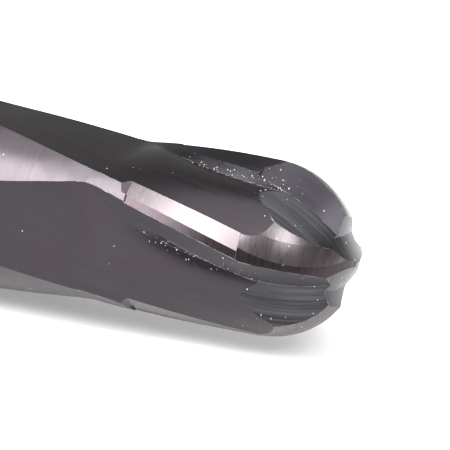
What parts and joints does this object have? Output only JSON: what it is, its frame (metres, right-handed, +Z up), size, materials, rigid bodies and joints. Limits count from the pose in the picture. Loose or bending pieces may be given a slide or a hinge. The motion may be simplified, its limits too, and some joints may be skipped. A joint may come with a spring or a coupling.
{
  "type": "ball nose end mill",
  "caption": "Ball-nose end mill with helical flutes, gashed ball end, conical neck and plain cylindrical shank, coated carbide head brazed into a steel shank.",
  "frame": {"origin": "centre of the shank's flat rear face, on the tool's axis", "axes": "+X along the tool's axis towards the ball tip, +Z up, +Y completes the right-handed frame"},
  "size_m": [0.075, 0.012, 0.012],
  "materials": {
    "coated_carbide": "ground carbide under a dark violet-grey hard coating",
    "ground_steel": "cylindrically ground hardened steel",
    "silver_braze": "silver braze alloy"
  },
  "bodies": {
    "root": {"cutting_head": "coated_carbide", "shank": "ground_steel", "braze": "silver_braze"}
  },
  "joints": []
}
